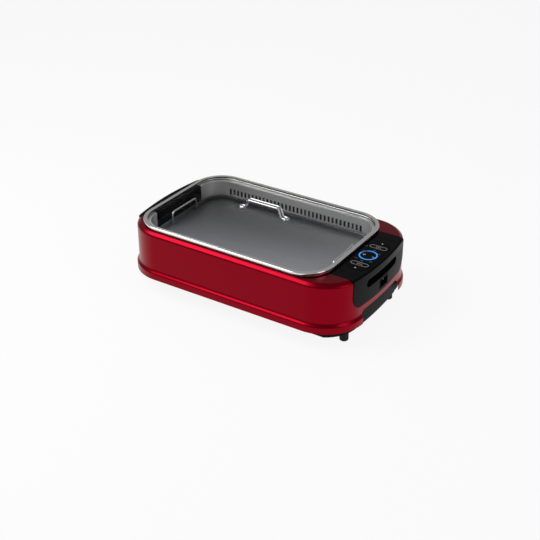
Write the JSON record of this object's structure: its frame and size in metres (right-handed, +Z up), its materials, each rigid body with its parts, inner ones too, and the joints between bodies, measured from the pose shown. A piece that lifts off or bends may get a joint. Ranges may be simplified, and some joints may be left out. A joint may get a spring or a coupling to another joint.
{
  "type": "electric indoor grill",
  "caption": "Low oblong countertop electric grill with a lift-off domed glass lid, griddle plate, side vent wall, drip tray and a touch control end.",
  "frame": {"origin": "on the table under the middle of the body", "axes": "+X towards the control end, +Y towards the vent wall at the back, +Z up"},
  "size_m": [0.5313, 0.321, 0.1915],
  "materials": {
    "red_shell": "metallic red enamel",
    "black_plastic": "satin",
    "gloss_panel": "gloss",
    "blue_light": "lit",
    "rubber": "matte",
    "steel": "brushed",
    "rim_steel": "polished",
    "chrome": "mirror",
    "nonstick": "dark non-stick coating",
    "glass": "clear",
    "seal": "silicone",
    "heater": "heat-darkened",
    "ceramic": "semi-matte",
    "brass": "bright",
    "board": "solder mask",
    "grey_plastic": "moulded",
    "zinc": "zinc plated"
  },
  "bodies": {
    "body": {"outer_shell": "red_shell", "base_pan": "black_plastic", "foot_front_left": "rubber", "foot_front_right": "rubber", "foot_rear_left": "rubber", "foot_rear_right": "rubber", "foot_screws": "zinc", "shell_screws": "zinc", "cooking_well": "steel", "heater_hooks": "steel", "heater_socket": "ceramic", "end_cap": "black_plastic", "control_housing": "black_plastic", "control_panel": "gloss_panel", "light_ring": "blue_light", "control_board": "board", "board_screws": "zinc", "inlet_socket": "black_plastic", "inlet_pins": "brass", "air_duct": "grey_plastic", "fan_casing": "grey_plastic", "fan_motor": "zinc", "casing_screws": "zinc"},
    "fan": {"fan_wheel": "grey_plastic", "fan_shaft": "zinc"},
    "tray": {"drip_tray": "steel"},
    "heater": {"heating_tube": "heater", "heater_straps": "steel", "heater_block": "ceramic", "heater_contacts": "brass"},
    "plate": {"griddle_plate": "nonstick", "plate_handle_left": "chrome", "plate_handle_right": "chrome"},
    "lid": {"lid_glass": "glass", "lid_rim": "rim_steel", "lid_seal": "seal", "lid_handle": "chrome", "handle_screws": "chrome", "handle_washers": "chrome", "handle_nuts": "zinc"}
  },
  "joints": [
    {"name": "lid_lift", "type": "slide", "parent": "body", "child": "lid", "axis": [0, 0, 1], "range_m": [0, 0.25]},
    {"name": "plate_lift", "type": "slide", "parent": "body", "child": "plate", "axis": [0, 0, 1], "range_m": [0, 0.18]},
    {"name": "heater_lift", "type": "slide", "parent": "body", "child": "heater", "axis": [0, 0, 1], "range_m": [0, 0.15]},
    {"name": "tray_lift", "type": "slide", "parent": "body", "child": "tray", "axis": [0, 0, 1], "range_m": [0, 0.1]},
    {"name": "fan_spin", "type": "hinge", "parent": "body", "child": "fan", "pos_m": [-0.019, 0.088, 0.03], "axis": [0, 0, 1], "continuous": true}
  ],
  "couplings": [
    {"joint": "plate_lift", "follows": "lid_lift", "ratio": 0.72},
    {"joint": "heater_lift", "follows": "lid_lift", "ratio": 0.6},
    {"joint": "tray_lift", "follows": "lid_lift", "ratio": 0.4}
  ]
}
